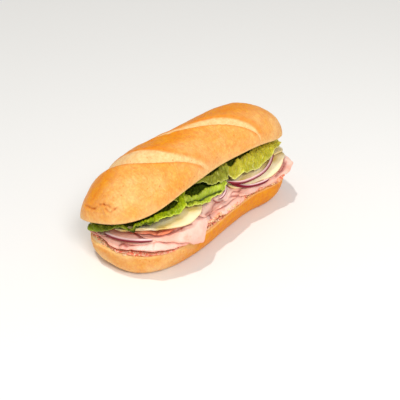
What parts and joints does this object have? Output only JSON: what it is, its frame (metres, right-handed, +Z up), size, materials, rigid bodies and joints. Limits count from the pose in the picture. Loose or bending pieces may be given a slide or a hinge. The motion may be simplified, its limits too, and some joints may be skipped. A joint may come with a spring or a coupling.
{
  "type": "italian sandwich",
  "caption": "Italian sandwich: a soft scored roll, tipped open at the front, with salami, ham, capicola, provolone, red onion and lettuce",
  "frame": {"origin": "middle of the roll's flat underside, where the sandwich rests", "axes": "+X along the roll towards its far end, -Y towards the open front, +Z up"},
  "size_m": [0.2336, 0.1079, 0.1021],
  "materials": {
    "crust": "soft baked crust",
    "salami": "moist cured sausage",
    "ham": "moist cooked ham",
    "capicola": "moist cured pork",
    "provolone": "smooth cheese",
    "onion": "wet raw onion",
    "lettuce": "crisp waxy leaf"
  },
  "bodies": {
    "root": {"bun_bottom": "crust", "bun_top": "crust", "salami_1": "salami", "salami_2": "salami", "salami_3": "salami", "salami_4": "salami", "salami_5": "salami", "ham_1": "ham", "ham_2": "ham", "ham_3": "ham", "ham_4": "ham", "ham_5": "ham", "ham_6": "ham", "ham_7": "ham", "ham_8": "ham", "capicola_1": "capicola", "provolone_1": "provolone", "provolone_2": "provolone", "provolone_3": "provolone", "onion_1": "onion", "onion_2": "onion", "onion_3": "onion", "onion_4": "onion", "lettuce_1": "lettuce", "lettuce_2": "lettuce", "lettuce_3": "lettuce", "lettuce_4": "lettuce"}
  },
  "joints": []
}
